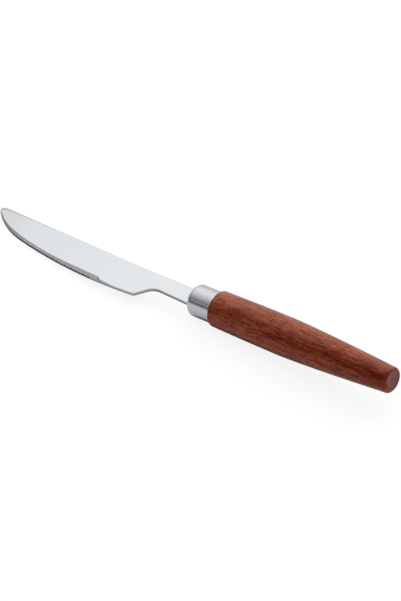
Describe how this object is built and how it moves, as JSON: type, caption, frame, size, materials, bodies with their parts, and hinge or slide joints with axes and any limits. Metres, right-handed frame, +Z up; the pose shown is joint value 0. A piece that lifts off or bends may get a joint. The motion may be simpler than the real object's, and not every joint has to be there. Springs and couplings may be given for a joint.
{
  "type": "dinner knife",
  "caption": "Table knife with a flat stamped blade, a finely toothed ground edge and a notched heel, a rounded metal ferrule and a tapered round wooden handle.",
  "frame": {"origin": "on the table, under the middle of the knife's box, as the knife comes to rest on its handle and blade", "axes": "+X along the knife from the point to the butt, -Y the side that the cutting edge faces, +Z up from the table"},
  "size_m": [0.2293, 0.0212, 0.0193],
  "materials": {
    "blade_steel": "fine satin, ground strip along the edge",
    "ferrule_steel": "satin, softly polished round the circumference",
    "handle_wood": "oiled reddish-brown hardwood with long dark pores",
    "cured_adhesive": "cured amber resin, hidden inside the handle"
  },
  "bodies": {
    "root": {"blade": "blade_steel", "ferrule": "ferrule_steel", "handle": "handle_wood", "tang_adhesive": "cured_adhesive"}
  },
  "joints": []
}
